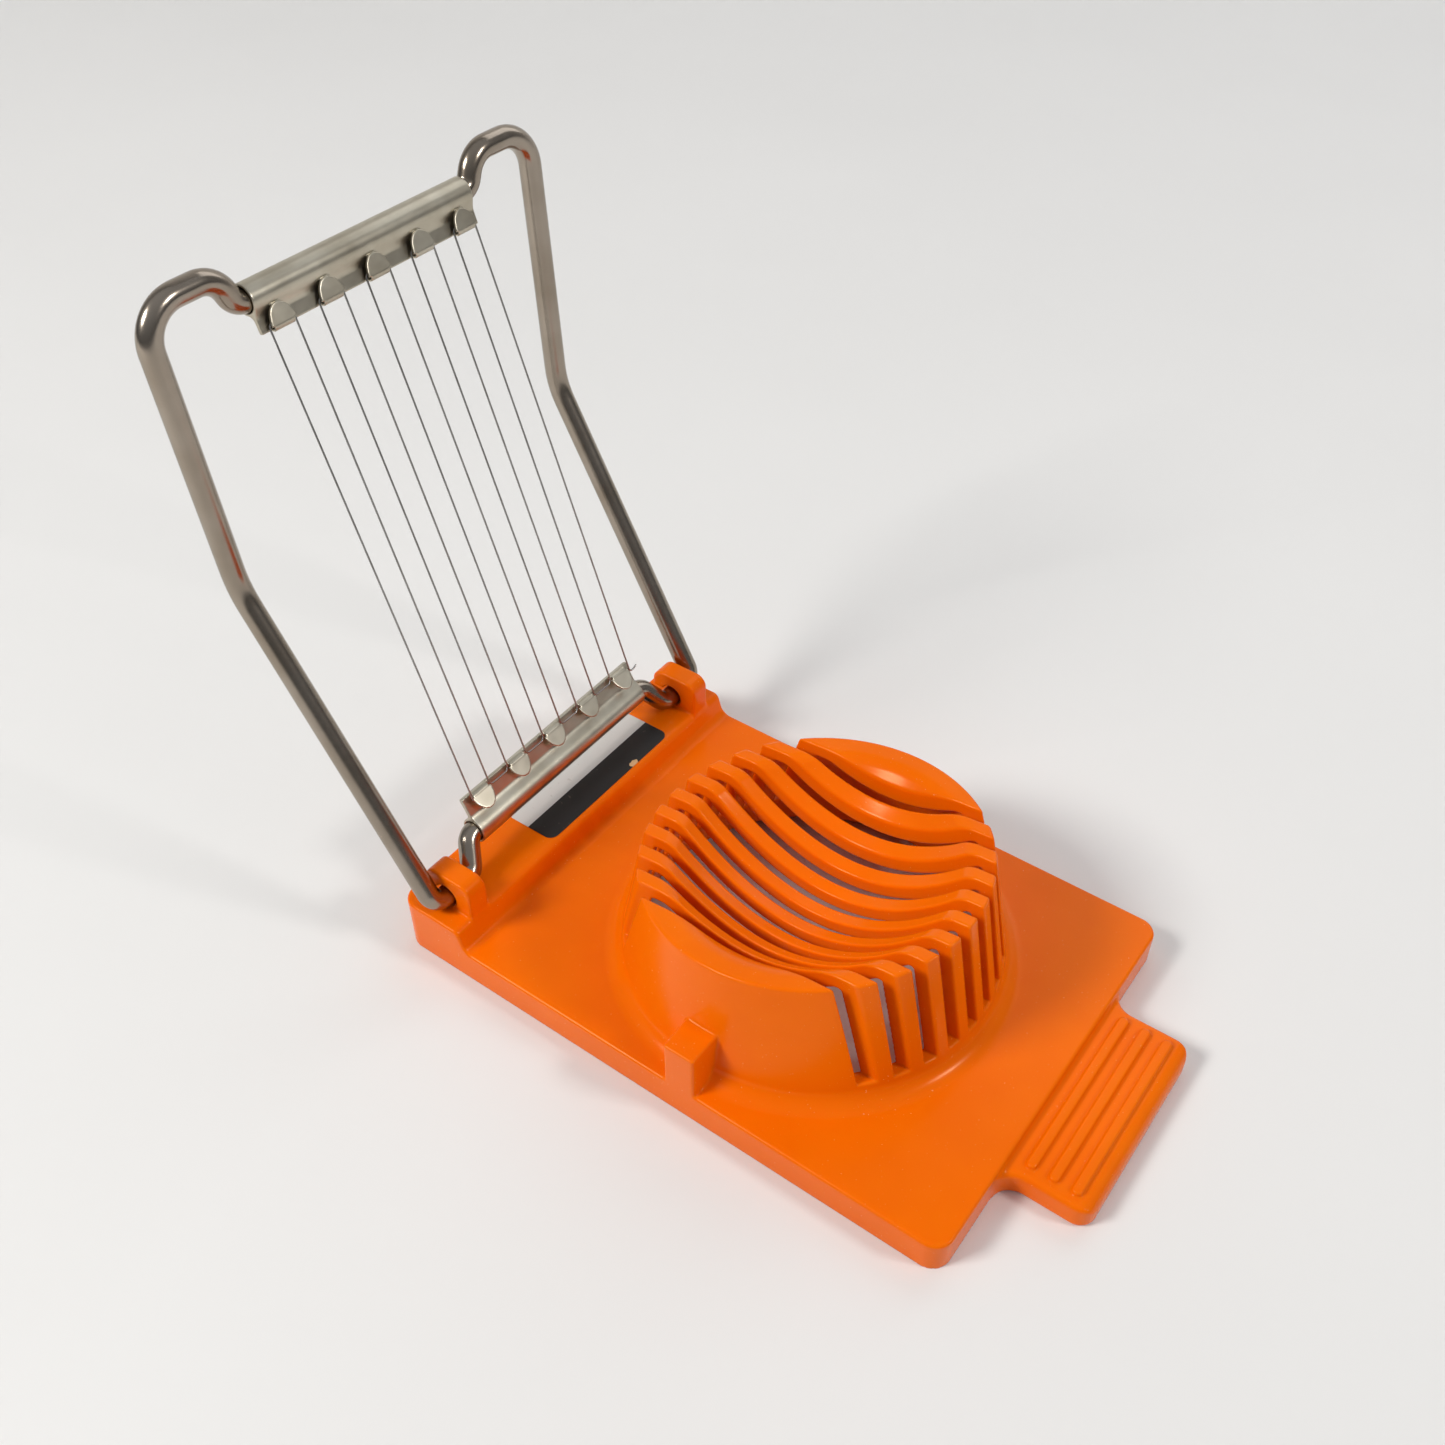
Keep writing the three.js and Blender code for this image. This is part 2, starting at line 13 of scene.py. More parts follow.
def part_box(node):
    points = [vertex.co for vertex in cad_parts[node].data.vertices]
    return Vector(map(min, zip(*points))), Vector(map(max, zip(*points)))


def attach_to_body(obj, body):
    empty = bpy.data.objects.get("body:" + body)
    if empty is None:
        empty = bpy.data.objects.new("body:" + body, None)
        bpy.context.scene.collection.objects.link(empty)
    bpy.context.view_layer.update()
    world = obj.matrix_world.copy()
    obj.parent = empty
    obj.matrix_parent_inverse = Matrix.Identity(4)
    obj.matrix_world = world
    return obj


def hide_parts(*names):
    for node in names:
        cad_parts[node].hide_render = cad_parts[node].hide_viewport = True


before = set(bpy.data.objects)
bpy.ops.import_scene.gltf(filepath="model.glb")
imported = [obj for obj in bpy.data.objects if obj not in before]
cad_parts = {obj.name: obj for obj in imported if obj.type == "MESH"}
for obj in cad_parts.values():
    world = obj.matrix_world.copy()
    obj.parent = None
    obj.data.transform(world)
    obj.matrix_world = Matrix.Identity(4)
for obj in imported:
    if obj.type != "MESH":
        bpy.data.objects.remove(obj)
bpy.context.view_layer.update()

MM = 0.001

# ------------------------------------------------------------------ sizes of the base
PLATE_WIDTH = 79.0
PLATE_FRONT = 49.8
PLATE_REAR = 63.9
PLATE_HEIGHT = 6.7
PLATE_CORNER = 3.5
SHELL_WALL = 2.4
LEDGE_TOP = 11.3
LEDGE_FOOT = 48.4
LEDGE_SLOPE_RUN = 1.4
TAB_WIDTH = 39.4
TAB_LENGTH = 15.2
TAB_HEIGHT = 5.2
TAB_CORNER = 3.0
TAB_FILLET = 4.0
TAB_TIP_ROUND = 2.6
GRIP_COUNT = 3
GRIP_PITCH = 4.0
GRIP_FIRST = 3.4
GRIP_LENGTH = 35.6
GRIP_WIDTH = 1.8
GRIP_HEIGHT = 0.8
DRUM_RIM_RADIUS = 30.5
DRUM_RIM_HEIGHT = 29.3
DRUM_RIM_SLOPE = 0.1
DRUM_TAPER = 0.19
DRUM_WALL = 2.7
BOWL_HALF_LENGTH = 26.2
BOWL_HALF_WIDTH = 25.6
BOWL_DEPTH = 13.8
SLOT_COUNT = 10
SLOT_PITCH = 5.0
SLOT_WIDTH = 2.4
SLOT_FLOOR = 10.5
SLOT_REACH = DRUM_RIM_RADIUS + 6
POST_WIDTH = 6.2
POST_TOP = 16.5
POST_OFFSET = 0.4
HOOK_OUTER = 35.4
HOOK_WIDTH = 4.4
HOOK_TOP_WALL = 2.8
HOOK_REACH = 4.5
HOOK_LIP = 1.0
HOOK_ROUND = 2.4

# Rounded edges, and the fillets where two shapes of the moulding meet.
PLATE_EDGE = 0.55
TAB_EDGE = 1.0
LEDGE_EDGE = 1.1
DRUM_EDGE = 0.35
SLOT_EDGE = 0.34
BOWL_EDGE = 1.2
GRIP_EDGE = 0.3
POST_EDGE = 0.35
POST_SIDE_EDGE = 0.6
HOOK_EDGE = 0.45
HOOK_BORE_EDGE = 0.5
INNER_EDGE = 0.4
TAB_JOIN = 0.9
LEDGE_JOIN = 1.4
DRUM_JOIN = 3.0
POST_JOIN = 0.5
HOOK_JOIN = 0.6
SHARP = 0.3

# ------------------------------------------------------------------ sizes of the frame
HINGE_FROM_REAR = 8.1
HINGE_HEIGHT = 13.6
HINGE_BORE = 2.3
FRAME_WIRE = 4.0
FRAME_LEAN = math.radians(18.7)
STRIP_LOWER = 5.6
STRIP_UPPER = 106.4
STRIP_BACK = 1.6
STRIP_SHEET = 0.45
STRIP_LENGTH = 47.4
STRIP_ROLL = FRAME_WIRE / 2 + 0.12
LOWER_FLANGE_REACH = 7.0
UPPER_FLANGE_REACH = 5.5
FLANGE_OFFSET = 0.55
FLANGE_FILLET = 1.1
HOOK_TAB_COUNT = 5
HOOK_TAB_PITCH = 2 * SLOT_PITCH
HOOK_TAB_WIDTH = 4.9
HOOK_TAB_LENGTH = 3.4
HOOK_WEB_HALF = 2.0
SHEET_EDGE = 0.12
STRIP_END_EDGE = 0.15
CUT_WIRE = 0.35
RUN_BACK = 0.35
UPPER_TURN_REACH = 4.3
LOWER_TURN_REACH = 6.3
TAIL_BELOW_TURN = 0.5
UPPER_TAB_SLOPE = -0.12
LOWER_TAB_SLOPE = 0.22
SPRUNG_TAB_SLOPE = 0.34
LOWER_STRIP_TILT = math.radians(9)
LOWER_TURN_BACK = 0.6
TURN_BEND = 0.9
LEFT_TAIL = 3.4
RIGHT_TAIL = 1.8
ARM_BEND_ALONG = 64.8
ARM_BEND_BACK = 12.0
EAR_TOP_ALONG = 111.6
BAR_GAP = 0.3
BAR_END_HALF = 25.2
JOG_HALF = 28.6
ARM_FOOT_HALF = 38.2
ARM_BEND_HALF = 39.4
EAR_HALF = 41.0
EAR_INNER_HALF = 27.6
TIGHT_BEND = 2.8
ARM_BEND = 16.0
EAR_BEND = 6.4
EAR_INNER_BEND = 5.0

hinge_y = PLATE_REAR - HINGE_FROM_REAR
origin = Vector((0.0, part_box("base")[1][1] - PLATE_REAR * MM, 0.0))
run_x = [(i - (SLOT_COUNT - 1) / 2) * SLOT_PITCH for i in range(SLOT_COUNT)]


# ------------------------------------------------------------------ camera
CAMERA_AZIMUTH = math.radians(-54.02)
CAMERA_ELEVATION = math.radians(42.93)
CAMERA_PLACE = (-150.5, -89.16, 221.97)
CAMERA_LENS = 37.79


def make_camera():
    sin_a, cos_a = math.sin(CAMERA_AZIMUTH), math.cos(CAMERA_AZIMUTH)
    sin_e, cos_e = math.sin(CAMERA_ELEVATION), math.cos(CAMERA_ELEVATION)
    back = Vector((sin_a * cos_e, -cos_a * cos_e, sin_e))
    right = Vector((cos_a, sin_a, 0.0))
    up = back.cross(right)
    turn = Matrix((right, up, back)).transposed().to_4x4()
    data = bpy.data.cameras.new("camera")
    data.sensor_width = 36.0
    data.lens = CAMERA_LENS
    data.clip_start = 0.01
    data.clip_end = 20.0
    camera = bpy.data.objects.new("camera", data)
    camera.matrix_world = Matrix.Translation(origin + Vector(CAMERA_PLACE) * MM) @ turn
    bpy.context.collection.objects.link(camera)
    bpy.context.scene.camera = camera


# ------------------------------------------------------------------ mesh helpers
def add_object(name, vertices, faces, material, smooth=True):
    """A mesh object from points in design millimetres."""
    mesh = bpy.data.meshes.new(name)
    points = np.asarray(vertices, dtype=np.float64) * MM + np.array(origin)
    faces = np.asarray(faces, dtype=np.int32)
    sides = faces.shape[1]
    mesh.vertices.add(len(points))
    mesh.vertices.foreach_set("co", points.astype(np.float32).ravel())
    mesh.loops.add(faces.size)
    mesh.loops.foreach_set("vertex_index", faces.ravel())
    mesh.polygons.add(len(faces))
    mesh.polygons.foreach_set("loop_start", np.arange(0, faces.size, sides, dtype=np.int32))
    mesh.polygons.foreach_set("use_smooth", np.full(len(faces), smooth))
    mesh.update(calc_edges=True)
    mesh.materials.append(material)
    piece = bpy.data.objects.new(name, mesh)
    bpy.context.collection.objects.link(piece)
    return piece


def surface_net(field, low, high, step):
    """Quads on the zero surface of field(x, y, z), which is negative inside the solid.

    Each grid cell that the surface crosses gets one vertex, which two Newton steps
    then move onto the surface itself.
    """
    axes = [np.arange(a, b + step, step) for a, b in zip(low, high)]
    nx, ny, nz = (len(axis) for axis in axes)
    value = np.empty((nx, ny, nz), dtype=np.float32)
    x, y = np.meshgrid(axes[0], axes[1], indexing="ij")
    for k, z in enumerate(axes[2]):
        value[:, :, k] = field(x, y, np.full_like(x, z))
    inside = value < 0
    total = np.zeros((nx - 1, ny - 1, nz - 1, 3), dtype=np.float32)
    count = np.zeros((nx - 1, ny - 1, nz - 1), dtype=np.float32)
    corners = [(i, j, k) for i in (0, 1) for j in (0, 1) for k in (0, 1)]

    def corner(array, c):
        return array[c[0]:nx - 1 + c[0], c[1]:ny - 1 + c[1], c[2]:nz - 1 + c[2]]

    for a in corners:
        for axis in range(3):
            if a[axis]:
                continue
            b = tuple(1 if n == axis else a[n] for n in range(3))
            crossed = corner(inside, a) != corner(inside, b)
            va, vb = corner(value, a)[crossed], corner(value, b)[crossed]
            share = va / (va - vb)
            for n in range(3):
                total[..., n][crossed] += a[n] + share * (b[n] - a[n])
            count[crossed] += 1
    used = count > 0
    index = np.full(count.shape, -1, dtype=np.int64)
    index[used] = np.arange(int(used.sum()))
    cells = np.argwhere(used)
    points = (cells + total[used] / count[used][:, None]) * step + np.array(low)

    quads = []
    for axis in range(3):
        u, v = (axis + 1) % 3, (axis + 2) % 3
        start = [slice(None)] * 3
        end = [slice(None)] * 3
        start[axis], end[axis] = slice(0, -1), slice(1, None)
        first, second = inside[tuple(start)], inside[tuple(end)]
        edge = np.argwhere(first != second)
        edge = edge[(edge[:, u] > 0) & (edge[:, v] > 0)]
        edge = edge[(edge[:, u] < value.shape[u] - 1) & (edge[:, v] < value.shape[v] - 1)]
        around = []
        for du, dv in ((1, 1), (0, 1), (0, 0), (1, 0)):
            cell = edge.copy()
            cell[:, u] -= du
            cell[:, v] -= dv
            around.append(index[cell[:, 0], cell[:, 1], cell[:, 2]])
        quad = np.stack(around, axis=1)
        flip = ~first[edge[:, 0], edge[:, 1], edge[:, 2]]
        quad[flip] = quad[flip][:, ::-1]
        quads.append(quad)

    reach = 0.02
    for _ in range(2):
        px, py, pz = points.T
        here = field(px, py, pz)
        slope = np.stack([
            field(px + reach, py, pz) - field(px - reach, py, pz),
            field(px, py + reach, pz) - field(px, py - reach, pz),
            field(px, py, pz + reach) - field(px, py, pz - reach),
        ], axis=1) / (2 * reach)
        size = np.maximum((slope ** 2).sum(axis=1), 0.25)
        move = -slope * (here / size)[:, None]
        length = np.linalg.norm(move, axis=1, keepdims=True)
        points = points + move * np.minimum(1, 0.5 * step / np.maximum(length, 1e-9))
    return points, np.concatenate(quads)


# ------------------------------------------------------------------ distance fields
def both(a, b, radius):
    """Where both solids are, with the edge between them rounded."""
    inner = np.minimum(np.maximum(a + radius, b + radius), 0)
    return inner + np.hypot(np.maximum(a + radius, 0), np.maximum(b + radius, 0)) - radius


def either(a, b, radius):
    """The two solids joined, with a fillet between them."""
    return -both(-a, -b, radius)


def cut(a, b, radius):
    """The first solid less the second, with the new edge rounded."""
    return both(a, -b, radius)


def span(x, low, high):
    """Distance to a slab between two levels."""
    return np.abs(x - (low + high) / 2) - (high - low) / 2


def rectangle(x, y, x0, x1, y0, y1, radius):
    """Distance to a rectangle with round corners."""
    dx, dy = span(x, x0, x1) + radius, span(y, y0, y1) + radius
    return np.minimum(np.maximum(dx, dy), 0) + np.hypot(np.maximum(dx, 0), np.maximum(dy, 0)) - radius


def drum_wall(x, y, z, inset):
    radius = DRUM_RIM_RADIUS - inset + (DRUM_RIM_HEIGHT - z) * DRUM_TAPER
    return (np.hypot(x, y) - radius) / math.hypot(1, DRUM_TAPER)


def rim_plane(y, z):
    return (z + DRUM_RIM_SLOPE * y - DRUM_RIM_HEIGHT) / math.hypot(1, DRUM_RIM_SLOPE)


def bowl(x, y, z, grow):
    """The egg-shaped hollow: a paraboloid square to the sloping rim."""
    across = (y - DRUM_RIM_SLOPE * (z - DRUM_RIM_HEIGHT)) / math.hypot(1, DRUM_RIM_SLOPE)
    qx, qy = x / BOWL_HALF_LENGTH, across / BOWL_HALF_WIDTH
    value = qx ** 2 + qy ** 2 - 1 - rim_plane(y, z) / BOWL_DEPTH
    slope = np.sqrt((2 * qx / BOWL_HALF_LENGTH) ** 2 + (2 * qy / BOWL_HALF_WIDTH) ** 2 + BOWL_DEPTH ** -2)
    return value / slope - grow


def hook_profile(y, z):
    """The hinge hook's side view: a roof over the wire, open to the rear."""
    front, top = LEDGE_FOOT + LEDGE_SLOPE_RUN, HINGE_HEIGHT + HINGE_BORE + HOOK_TOP_WALL
    block = rectangle(y, z, front, hinge_y + HOOK_REACH, LEDGE_TOP - 6, top, HOOK_ROUND)
    bore = np.hypot(y - hinge_y, z - HINGE_HEIGHT) - HINGE_BORE
    mouth = rectangle(y, z, hinge_y, hinge_y + 20, LEDGE_TOP - 8, HINGE_HEIGHT + HOOK_LIP, 0.1)
    return cut(block, np.minimum(bore, mouth), HOOK_BORE_EDGE)


def outlines(x, y):
    """The plate seen from above, and the plate together with the thumb tab."""
    half = PLATE_WIDTH / 2
    plate_plan = rectangle(x, y, -half, half, -PLATE_FRONT, PLATE_REAR, PLATE_CORNER)
    tab_plan = rectangle(x, y, -TAB_WIDTH / 2, TAB_WIDTH / 2, -PLATE_FRONT - TAB_LENGTH, 0, TAB_CORNER)
    return plate_plan, either(plate_plan, tab_plan, TAB_FILLET)


def tab_field(x, y, z, whole_plan):
    """The thumb tab's level, with its front edge rolled over and its grip ribs on top."""
    tab = both(whole_plan, span(z, 0, TAB_HEIGHT), TAB_EDGE)
    tab = np.maximum(tab, both(-PLATE_FRONT - TAB_LENGTH - y, z - TAB_HEIGHT, TAB_TIP_ROUND))
    for i in range(GRIP_COUNT):
        middle = -PLATE_FRONT - GRIP_FIRST - i * GRIP_PITCH
        grip = rectangle(x, y - middle, -GRIP_LENGTH / 2, GRIP_LENGTH / 2,
                         -GRIP_WIDTH / 2, GRIP_WIDTH / 2, GRIP_WIDTH / 2 - 0.02)
        grip = both(grip, span(z, 1, TAB_HEIGHT + GRIP_HEIGHT), GRIP_EDGE)
        tab = either(tab, grip, GRIP_EDGE)
    return tab


def ledge_front(y, z):
    """Distance to the ledge's sloping front, negative behind it."""
    rise = LEDGE_TOP - PLATE_HEIGHT
    length = math.hypot(rise, LEDGE_SLOPE_RUN)
    return ((LEDGE_FOOT - y) * rise + (z - PLATE_HEIGHT) * LEDGE_SLOPE_RUN) / length


def ledge_field(y, z, plate_plan):
    ledge = both(both(ledge_front(y, z), z - LEDGE_TOP, LEDGE_EDGE), plate_plan, PLATE_EDGE)
    return np.maximum(ledge, 3 - z)


def post_field(x, y, z):
    """The two stop posts, one at each side of the drum."""
    half = PLATE_WIDTH / 2
    post = rectangle(np.abs(x), y - POST_OFFSET, DRUM_RIM_RADIUS - 2, half + 20,
                     -POST_WIDTH / 2, POST_WIDTH / 2, 0.1)
    return both(both(post, np.abs(x) - half, POST_SIDE_EDGE), span(z, 1, POST_TOP), POST_EDGE)


def hollow_field(x, y, z, plate_plan, whole_plan):
    """The open space under the shell."""
    half = PLATE_WIDTH / 2 - SHELL_WALL
    under_plate = both(rectangle(x, y, -half, half, -PLATE_FRONT + SHELL_WALL,
                                 PLATE_REAR - SHELL_WALL, PLATE_CORNER / 2),
                       z - (PLATE_HEIGHT - SHELL_WALL), INNER_EDGE)
    under_tab = both(whole_plan + SHELL_WALL, z - (TAB_HEIGHT - SHELL_WALL), INNER_EDGE)
    under_ledge = both(both(ledge_front(y, z) + SHELL_WALL, plate_plan + SHELL_WALL, SHARP),
                       z - (LEDGE_TOP - SHELL_WALL), INNER_EDGE)
    under_drum = both(drum_wall(x, y, z, DRUM_WALL), rim_plane(y, z) + DRUM_WALL, INNER_EDGE)
    under_drum = cut(under_drum, bowl(x, y, z, DRUM_WALL), SHARP)
    return np.minimum(np.minimum(under_plate, under_tab), np.minimum(under_ledge, under_drum))


def slot_field(x, y, z):
    """The ten slots, down to a floor just above the drum's foot."""
    nearest = np.abs((x / SLOT_PITCH + 0.5) - np.round(x / SLOT_PITCH + 0.5)) * SLOT_PITCH
    limit = (SLOT_COUNT * SLOT_PITCH) / 2
    slots = np.maximum(np.maximum(nearest - SLOT_WIDTH / 2, np.abs(x) - limit), SLOT_FLOOR - z)
    return np.maximum(slots, np.abs(y) - SLOT_REACH)


def base_field(x, y, z):
    """The whole moulding."""
    plate_plan, whole_plan = outlines(x, y)
    plate = both(plate_plan, span(z, 0, PLATE_HEIGHT), PLATE_EDGE)
    drum = np.maximum(both(drum_wall(x, y, z, 0), rim_plane(y, z), DRUM_EDGE), 2 - z)
    hook = both(hook_profile(y, z), span(np.abs(x), HOOK_OUTER - HOOK_WIDTH, HOOK_OUTER), HOOK_EDGE)
    shell = either(plate, tab_field(x, y, z, whole_plan), TAB_JOIN)
    shell = either(shell, ledge_field(y, z, plate_plan), LEDGE_JOIN)
    shell = either(shell, drum, DRUM_JOIN)
    shell = either(shell, post_field(x, y, z), POST_JOIN)
    shell = either(shell, hook, HOOK_JOIN)
    shell = np.maximum(shell, whole_plan)
    shell = cut(shell, hollow_field(x, y, z, plate_plan, whole_plan), SHARP)
    shell = cut(shell, bowl(x, y, z, 0), BOWL_EDGE)
    return cut(shell, slot_field(x, y, z), SLOT_EDGE)


# ------------------------------------------------------------------ swept wires
along = Vector((0, math.sin(FRAME_LEAN), math.cos(FRAME_LEAN)))
forward = Vector((0, -math.cos(FRAME_LEAN), math.sin(FRAME_LEAN)))
hinge = Vector((0, hinge_y, HINGE_HEIGHT))


def place(x, s, v):
    """A point of the open frame, across, along and forward of the hinge."""
    return hinge + Vector((x, 0, 0)) + along * s + forward * v


def rounded_path(corners, arc_step=math.radians(5)):
    """Points on straight spans joined by round bends, from [point, bend radius] pairs."""
    points = [corners[0][0]]
    for (before, _), (here, radius), (after, _) in zip(corners, corners[1:], corners[2:]):
        inward, outward = (before - here).normalized(), (after - here).normalized()
        turn = math.pi - inward.angle(outward)
        if turn < 1e-4:
            points.append(here)
            continue
        start = here + inward * radius * math.tan(turn / 2)
        centre = here + (inward + outward).normalized() * (radius / math.cos(turn / 2))
        axis = (-inward).cross(outward).normalized()
        steps = max(2, math.ceil(turn / arc_step))
        for k in range(steps + 1):
            points.append(centre + Quaternion(axis, turn * k / steps) @ (start - centre))
    points.append(corners[-1][0])
    return points


def tube(points, diameter, sides):
    """Vertices and quads of a round wire along points, closed by rings that shrink to its ends."""
    points = [Vector(p) for p in points]
    last = len(points) - 1
    tangents = []
    for i in range(last + 1):
        ahead = points[min(i + 1, last)] - points[i]
        behind = points[i] - points[max(i - 1, 0)]
        tangents.append((ahead.normalized() + behind.normalized()).normalized())
    normal = tangents[0].orthogonal().normalized()
    rings = []
    for i, tangent in enumerate(tangents):
        if i:
            normal = tangents[i - 1].rotation_difference(tangent) @ normal
        side = tangent.cross(normal)
        shrink = [(0, diameter / 2)]
        if i == 0:
            shrink = [(0, 0.02), (0, diameter * 0.42), (0.08 * diameter, diameter / 2)]
        if i == last:
            shrink = [(-0.08 * diameter, diameter / 2), (0, diameter * 0.42), (0, 0.02)]
        for shift, radius in shrink:
            centre = points[i] + tangent * shift
            rings.append([centre + (normal * math.cos(a) + side * math.sin(a)) * radius
                          for a in (2 * math.pi * k / sides for k in range(sides))])
    vertices = np.array([[tuple(p) for p in ring] for ring in rings]).reshape(-1, 3)
    row = np.arange(len(rings) - 1)[:, None] * sides
    column = np.arange(sides)[None, :]
    ahead = (column + 1) % sides
    quads = np.stack([row + column, row + ahead, row + sides + ahead, row + sides + column], axis=-1)
    return vertices, quads.reshape(-1, 4)


def upper_back(s):
    """How far behind the cutting runs the frame's upper part lies, at s along it."""
    share = (s - ARM_BEND_ALONG) / (STRIP_UPPER - ARM_BEND_ALONG)
    return -ARM_BEND_BACK + share * (ARM_BEND_BACK - STRIP_BACK)


def frame_corners():
    """The frame wire's corners with their bend radii, from the middle of the lower crossbar round."""
    ear_back = upper_back(EAR_TOP_ALONG)

    def side(sign):
        return [
            (place(sign * BAR_END_HALF, STRIP_LOWER, -STRIP_BACK), TIGHT_BEND),
            (place(sign * JOG_HALF, 0, 0), TIGHT_BEND),
            (place(sign * ARM_FOOT_HALF, 0, 0), TIGHT_BEND),
            (place(sign * ARM_BEND_HALF, ARM_BEND_ALONG, -ARM_BEND_BACK), ARM_BEND),
            (place(sign * EAR_HALF, EAR_TOP_ALONG, ear_back), EAR_BEND),
            (place(sign * EAR_INNER_HALF, EAR_TOP_ALONG, ear_back), EAR_INNER_BEND),
            (place(sign * BAR_END_HALF, STRIP_UPPER, -STRIP_BACK), TIGHT_BEND),
        ]
    return [(place(BAR_GAP / 2, STRIP_LOWER, -STRIP_BACK), 0), *side(1),
            *reversed(side(-1)), (place(-BAR_GAP / 2, STRIP_LOWER, -STRIP_BACK), 0)]


# ------------------------------------------------------------------ clamp strip
flange_front = FLANGE_OFFSET + 2 * STRIP_SHEET
run_height = RUN_BACK + STRIP_BACK
hook_inside = run_height + CUT_WIRE / 2 + 0.25


def strip_field(x, y, z, flange_reach, slope, end_slope):
    """A strip round a crossbar on the X axis, flange towards +Y, hooks on +Z.

    slope is how far the hooks are sprung open, and end_slope the two end ones.
    """
    sheet = STRIP_SHEET / 2
    roll = np.abs(np.hypot(y, z) - STRIP_ROLL - sheet) - sheet
    flange = rectangle(y, z, 0.5, flange_reach, FLANGE_OFFSET, flange_front, 0.2)
    flange = np.maximum(flange, STRIP_ROLL - np.hypot(y, z))
    strip = np.maximum(either(roll, flange, FLANGE_FILLET), STRIP_ROLL - np.hypot(y, z))
    strip = both(strip, np.abs(x) - STRIP_LENGTH / 2, STRIP_END_EDGE)
    middle = (flange_front - sheet + hook_inside + sheet) / 2
    bend = (hook_inside + 2 * sheet - flange_front + 2 * sheet) / 2 - sheet
    turn = np.abs(np.hypot(y - (flange_reach - bend), z - middle) - bend) - sheet
    turn = np.maximum(turn, flange_reach - bend - y)
    last = (HOOK_TAB_COUNT - 1) / 2
    near = x - np.clip(np.round(x / HOOK_TAB_PITCH), -last, last) * HOOK_TAB_PITCH
    web = both(turn, np.abs(near) - HOOK_WEB_HALF, SHEET_EDGE)
    oval = np.hypot(near / (HOOK_TAB_WIDTH / 2), (y - flange_reach + bend * 0.6) / HOOK_TAB_LENGTH)
    face = np.maximum((oval - 1) * HOOK_TAB_WIDTH / 2, y - (flange_reach - bend + 0.05))
    lean = np.where(np.abs(x) > (last - 0.5) * HOOK_TAB_PITCH, end_slope, slope)
    lift = lean * (flange_reach - bend - y)
    face = both(face, np.abs(z - lift - hook_inside - sheet) - sheet, SHEET_EDGE)
    return np.minimum(np.minimum(strip, web), face)


def strip_piece(name, net, s, toward, tilt, material):
    """A strip in its place. toward is +1 where its flange points along the frame, -1 where back."""
    points, quads = net
    cosine, sine = math.cos(tilt), math.sin(tilt)
    points = points @ np.array([[1, 0, 0], [0, cosine, -sine], [0, sine, cosine]])
    across = np.array([toward, 0, 0])
    rows = np.array([across, toward * np.array(along), np.array(forward)])
    placed = points @ rows + np.array(place(0, s, -STRIP_BACK))
    return add_object(name, placed, quads, material)


# ------------------------------------------------------------------ cutting wire
def cutting_corners():
    """One wire: wound on the lower strip, up and down over the hooks, and wound off again."""
    low, high = STRIP_LOWER + LOWER_TURN_REACH, STRIP_UPPER - UPPER_TURN_REACH
    end = low - TAIL_BELOW_TURN
    back = RUN_BACK
    corners = [(place(run_x[0] + LEFT_TAIL, end + 0.2, back), 0), (place(run_x[0], end, back), TURN_BEND)]
    bottom, top = (low, back - LOWER_TURN_BACK), (high, back)
    for i, x in enumerate(run_x):
        first, second = (bottom, top) if i % 2 == 0 else (top, bottom)
        if i:
            corners.append((place(x, *first), TURN_BEND))
        if i + 1 < SLOT_COUNT:
            corners.append((place(x, *second), TURN_BEND))
    corners.append((place(run_x[-1], end, back), 0.6))
    corners.append((place(run_x[-1] + 1.0, end + 0.1, back + 0.1), 0.3))
    corners.append((place(run_x[-1] + RIGHT_TAIL, end + 0.6, back + 0.4), 0))
    return corners


# ------------------------------------------------------------------ materials
WHITE_BAND_SHARE = 0.43
CHIP_PLACE = 0.7
CHIP_RADIUS = 1.1


def srgb(r, g, b):
    """A linear colour from 8-bit sRGB values."""
    def linear(c):
        c /= 255
        return c / 12.92 if c <= 0.04045 else ((c + 0.055) / 1.055) ** 2.4
    return (linear(r), linear(g), linear(b), 1.0)


